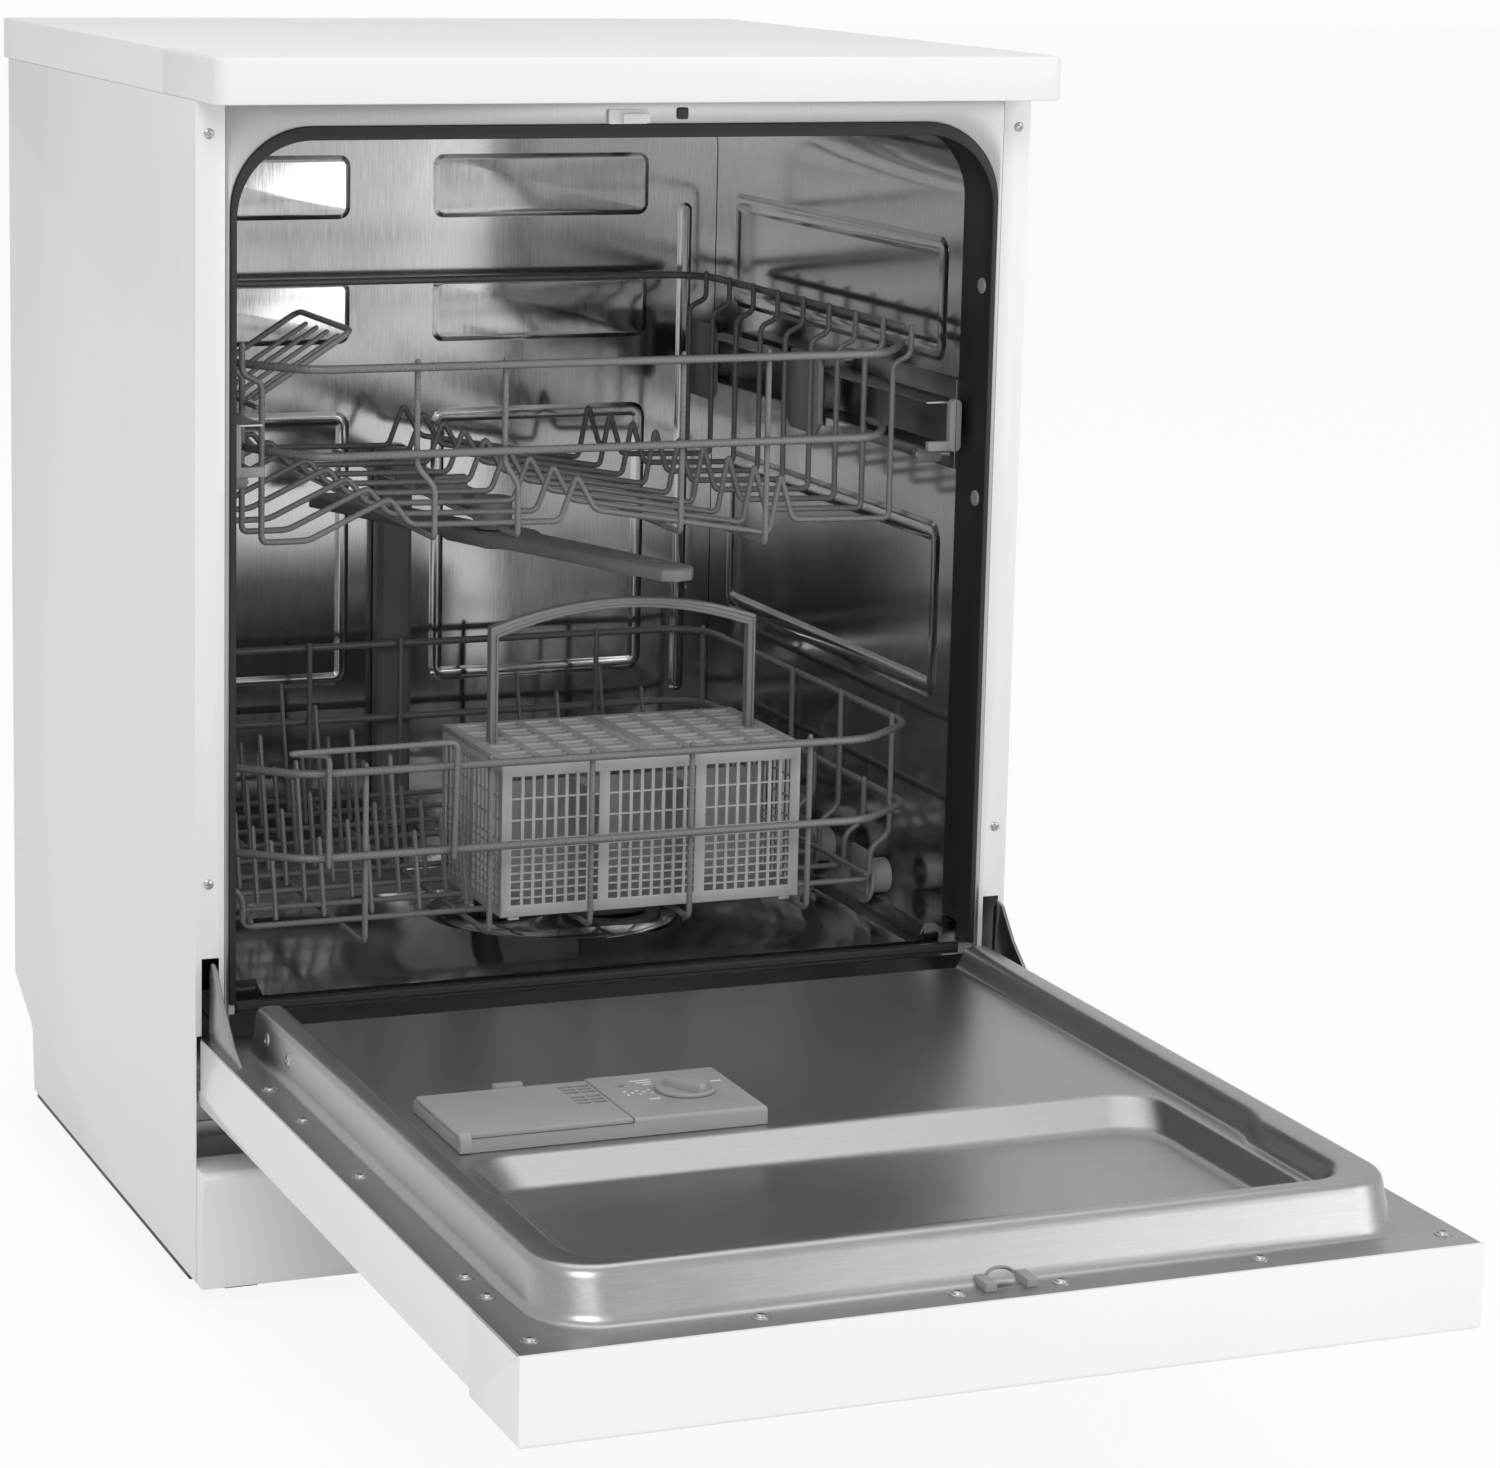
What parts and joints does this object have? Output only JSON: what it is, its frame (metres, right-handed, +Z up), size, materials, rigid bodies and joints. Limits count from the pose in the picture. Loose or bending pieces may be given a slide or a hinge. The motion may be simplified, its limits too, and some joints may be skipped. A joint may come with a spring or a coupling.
{
  "type": "dishwasher",
  "caption": "Free-standing dishwasher with a drop-down door, two wire racks on slides, cutlery basket, spray arms, filter and detergent dispenser.",
  "frame": {"origin": "on the floor, midway between the sides, in the plane of the cabinet's front posts", "axes": "+X to the right seen from the front, +Y to the back, +Z up"},
  "size_m": [0.598, 1.184, 0.845],
  "materials": {
    "white_sheet": "white enamel, satin",
    "white_plastic": "white moulded plastic, soft gloss",
    "laminate": "white laminated board",
    "stainless": "bright pressed stainless steel",
    "zinc_steel": "zinc-plated sheet",
    "black_rubber": "matt black rubber",
    "black_plastic": "matt black plastic",
    "grey_plastic": "mid grey plastic",
    "light_grey_plastic": "light grey plastic",
    "grey_coated_wire": "grey nylon coating on steel wire",
    "dark_glass": "smoked window",
    "spring_steel": "oiled spring steel"
  },
  "bodies": {
    "cabinet": {"base_crossmember": "zinc_steel", "base_tray": "black_plastic", "circulation_pump": "black_plastic", "door_gasket": "black_rubber", "door_strike": "white_plastic", "drain_pump": "black_plastic", "filter_plate": "stainless", "front_frame": "stainless", "hinge_brackets": "zinc_steel", "hinge_springs": "spring_steel", "left_side_panel": "white_sheet", "levelling_feet": "black_plastic", "plinth": "white_sheet", "rear_feed_duct": "grey_plastic", "rear_panel": "zinc_steel", "right_side_panel": "white_sheet", "roller_plates": "stainless", "sump": "grey_plastic", "tub_floor": "stainless", "tub_rear_wall": "stainless", "tub_wrapper": "stainless", "water_connections": "grey_plastic", "water_softener": "light_grey_plastic", "worktop": "laminate", "worktop_trim": "white_plastic"},
    "door": {"door_liner": "stainless", "door_outer_panel": "white_sheet", "fascia": "white_plastic", "display_window": "dark_glass", "latch_case": "light_grey_plastic", "hinge_arms": "zinc_steel", "dispenser_body": "grey_plastic"},
    "upper_rails": {"upper_rails": "stainless", "rail_caps": "light_grey_plastic"},
    "upper_rack": {"upper_rack_wires": "grey_coated_wire", "upper_wheel_carriers": "light_grey_plastic", "upper_feed_pipe": "grey_plastic"},
    "lower_rack": {"lower_rack_wires": "grey_coated_wire", "lower_wheel_carriers": "light_grey_plastic", "cutlery_basket": "light_grey_plastic", "basket_handle": "grey_plastic"},
    "dispenser_lid": {"dispenser_lid": "grey_plastic"},
    "dispenser_release": {"dispenser_release": "light_grey_plastic"},
    "rinse_aid_cap": {"rinse_aid_cap": "grey_plastic"},
    "power_button": {"power_button": "white_plastic"},
    "program_button": {"program_button": "white_plastic"},
    "start_button": {"start_button": "white_plastic"},
    "cup_shelf": {"cup_shelf": "grey_coated_wire"},
    "upper_front_wheels": {"upper_front_wheels": "light_grey_plastic"},
    "upper_rear_wheels": {"upper_rear_wheels": "light_grey_plastic"},
    "upper_spray_arm": {"upper_spray_arm": "grey_plastic"},
    "front_guide_rollers": {"front_guide_rollers": "light_grey_plastic"},
    "rear_guide_rollers": {"rear_guide_rollers": "light_grey_plastic"},
    "lower_wheels_1": {"lower_wheels_1": "light_grey_plastic"},
    "lower_wheels_2": {"lower_wheels_2": "light_grey_plastic"},
    "lower_wheels_3": {"lower_wheels_3": "light_grey_plastic"},
    "lower_wheels_4": {"lower_wheels_4": "light_grey_plastic"},
    "lower_spray_arm": {"lower_spray_arm": "grey_plastic"},
    "micro_filter": {"micro_filter": "grey_plastic"},
    "salt_cap": {"salt_cap": "grey_plastic"}
  },
  "joints": [
    {"name": "door_hinge", "type": "hinge", "parent": "cabinet", "child": "door", "pos_m": [0, -0.012, 0.188], "axis": [1, 0, 0], "range_deg": [-90, 0]},
    {"name": "upper_rail_slide", "type": "slide", "parent": "cabinet", "child": "upper_rails", "axis": [0, -1, 0], "range_m": [0, 0.18]},
    {"name": "upper_rack_slide", "type": "slide", "parent": "upper_rails", "child": "upper_rack", "axis": [0, -1, 0], "range_m": [0, 0.18]},
    {"name": "lower_rack_slide", "type": "slide", "parent": "cabinet", "child": "lower_rack", "axis": [0, -1, 0], "range_m": [0, 0.42]},
    {"name": "upper_front_wheel_spin", "type": "hinge", "parent": "upper_rack", "child": "upper_front_wheels", "pos_m": [0, 0.236, 0.582], "axis": [1, 0, 0], "continuous": true},
    {"name": "upper_rear_wheel_spin", "type": "hinge", "parent": "upper_rack", "child": "upper_rear_wheels", "pos_m": [0, 0.44, 0.582], "axis": [1, 0, 0], "continuous": true},
    {"name": "front_guide_roller_spin", "type": "hinge", "parent": "cabinet", "child": "front_guide_rollers", "pos_m": [0, 0.06, 0.5584], "axis": [1, 0, 0], "continuous": true},
    {"name": "rear_guide_roller_spin", "type": "hinge", "parent": "cabinet", "child": "rear_guide_rollers", "pos_m": [0, 0.23, 0.6056], "axis": [1, 0, 0], "continuous": true},
    {"name": "lower_wheel_spin_1", "type": "hinge", "parent": "lower_rack", "child": "lower_wheels_1", "pos_m": [0, 0.121, 0.2352], "axis": [1, 0, 0], "continuous": true},
    {"name": "lower_wheel_spin_2", "type": "hinge", "parent": "lower_rack", "child": "lower_wheels_2", "pos_m": [0, 0.222, 0.2352], "axis": [1, 0, 0], "continuous": true},
    {"name": "lower_wheel_spin_3", "type": "hinge", "parent": "lower_rack", "child": "lower_wheels_3", "pos_m": [0, 0.36, 0.2352], "axis": [1, 0, 0], "continuous": true},
    {"name": "lower_wheel_spin_4", "type": "hinge", "parent": "lower_rack", "child": "lower_wheels_4", "pos_m": [0, 0.461, 0.2352], "axis": [1, 0, 0], "continuous": true},
    {"name": "cup_shelf_fold", "type": "hinge", "parent": "upper_rack", "child": "cup_shelf", "pos_m": [-0.2283, 0.171, 0.6014], "axis": [0, -1, 0], "range_deg": [0, 50]},
    {"name": "upper_arm_spin", "type": "hinge", "parent": "upper_rack", "child": "upper_spray_arm", "pos_m": [0, 0.262, 0.478], "axis": [0, 0, 1], "continuous": true},
    {"name": "lower_arm_spin", "type": "hinge", "parent": "cabinet", "child": "lower_spray_arm", "pos_m": [0, 0.262, 0.22], "axis": [0, 0, 1], "continuous": true},
    {"name": "micro_filter_twist", "type": "hinge", "parent": "cabinet", "child": "micro_filter", "pos_m": [0.075, 0.2, 0.19], "axis": [0, 0, 1], "range_deg": [0, 90]},
    {"name": "salt_cap_twist", "type": "hinge", "parent": "cabinet", "child": "salt_cap", "pos_m": [-0.15, 0.34, 0.205], "axis": [0, 0, 1], "range_deg": [0, 180]},
    {"name": "dispenser_lid_hinge", "type": "hinge", "parent": "door", "child": "dispenser_lid", "pos_m": [-0.173, -0.338, 0.2178], "axis": [-1, 0, 0], "range_deg": [-70, 0]},
    {"name": "dispenser_release_press", "type": "slide", "parent": "door", "child": "dispenser_release", "axis": [0, 1, 0], "range_m": [0, 0.003], "stiffness_N_per_m": 300},
    {"name": "rinse_aid_cap_twist", "type": "hinge", "parent": "door", "child": "rinse_aid_cap", "pos_m": [-0.065, -0.293, 0.222], "axis": [0, 0, 1], "range_deg": [0, 90]},
    {"name": "power_button_press", "type": "slide", "parent": "door", "child": "power_button", "axis": [0, 0, 1], "range_m": [0, 0.0015], "stiffness_N_per_m": 400},
    {"name": "program_button_press", "type": "slide", "parent": "door", "child": "program_button", "axis": [0, 0, 1], "range_m": [0, 0.0015], "stiffness_N_per_m": 400},
    {"name": "start_button_press", "type": "slide", "parent": "door", "child": "start_button", "axis": [0, 0, 1], "range_m": [0, 0.0015], "stiffness_N_per_m": 400}
  ],
  "couplings": [
    {"joint": "upper_rack_slide", "follows": "upper_rail_slide", "ratio": 1},
    {"joint": "upper_front_wheel_spin", "follows": "upper_rail_slide", "rad_per_m": 66.225},
    {"joint": "upper_rear_wheel_spin", "follows": "upper_rail_slide", "rad_per_m": 66.225},
    {"joint": "front_guide_roller_spin", "follows": "upper_rail_slide", "rad_per_m": 153.85},
    {"joint": "rear_guide_roller_spin", "follows": "upper_rail_slide", "rad_per_m": -153.85},
    {"joint": "lower_wheel_spin_1", "follows": "lower_rack_slide", "rad_per_m": 76.923},
    {"joint": "lower_wheel_spin_2", "follows": "lower_rack_slide", "rad_per_m": 76.923},
    {"joint": "lower_wheel_spin_3", "follows": "lower_rack_slide", "rad_per_m": 76.923},
    {"joint": "lower_wheel_spin_4", "follows": "lower_rack_slide", "rad_per_m": 76.923}
  ]
}
